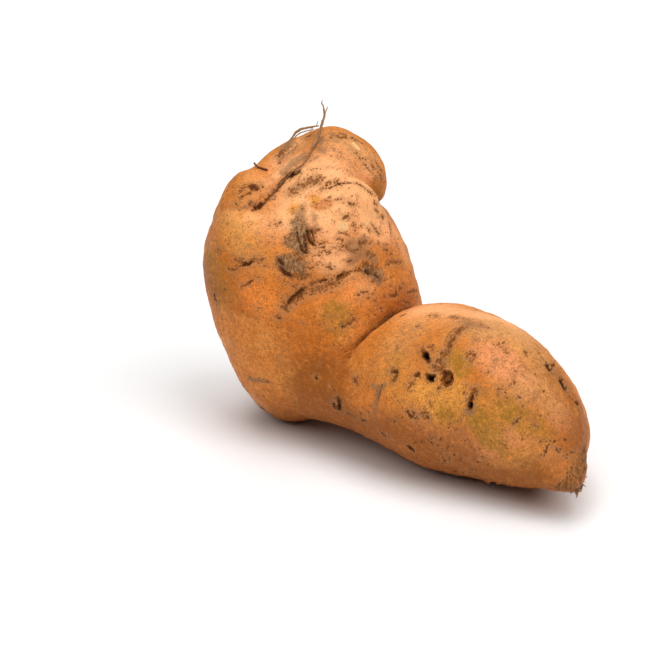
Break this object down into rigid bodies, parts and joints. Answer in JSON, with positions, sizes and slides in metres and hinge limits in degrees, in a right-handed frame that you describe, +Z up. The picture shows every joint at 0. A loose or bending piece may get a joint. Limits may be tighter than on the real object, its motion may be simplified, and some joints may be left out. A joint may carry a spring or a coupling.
{
  "type": "sweet potato",
  "caption": "Knobbly sweet potato, whole as dug: a standing lobe with a knob on its crown and a side lobe along the ground, with dried rootlets.",
  "frame": {"origin": "on the resting surface, under the middle of the whole object's box", "axes": "+Z up from the resting surface; +X along the longest side, towards the side lobe; -Y is the front"},
  "size_m": [0.1528, 0.1416, 0.1412],
  "materials": {
    "skin": "matte skin with a slight sheen, orange to olive, with brown scars and grey soil stains",
    "rootlet": "dry, fibrous, matte",
    "stub": "dry, dark, matte",
    "tail": "dry, frayed, matte"
  },
  "bodies": {
    "root": {"tuber": "skin", "rootlet_long": "rootlet", "rootlet_arched": "rootlet", "root_stub": "stub", "tail_rootlets": "tail"}
  },
  "joints": []
}
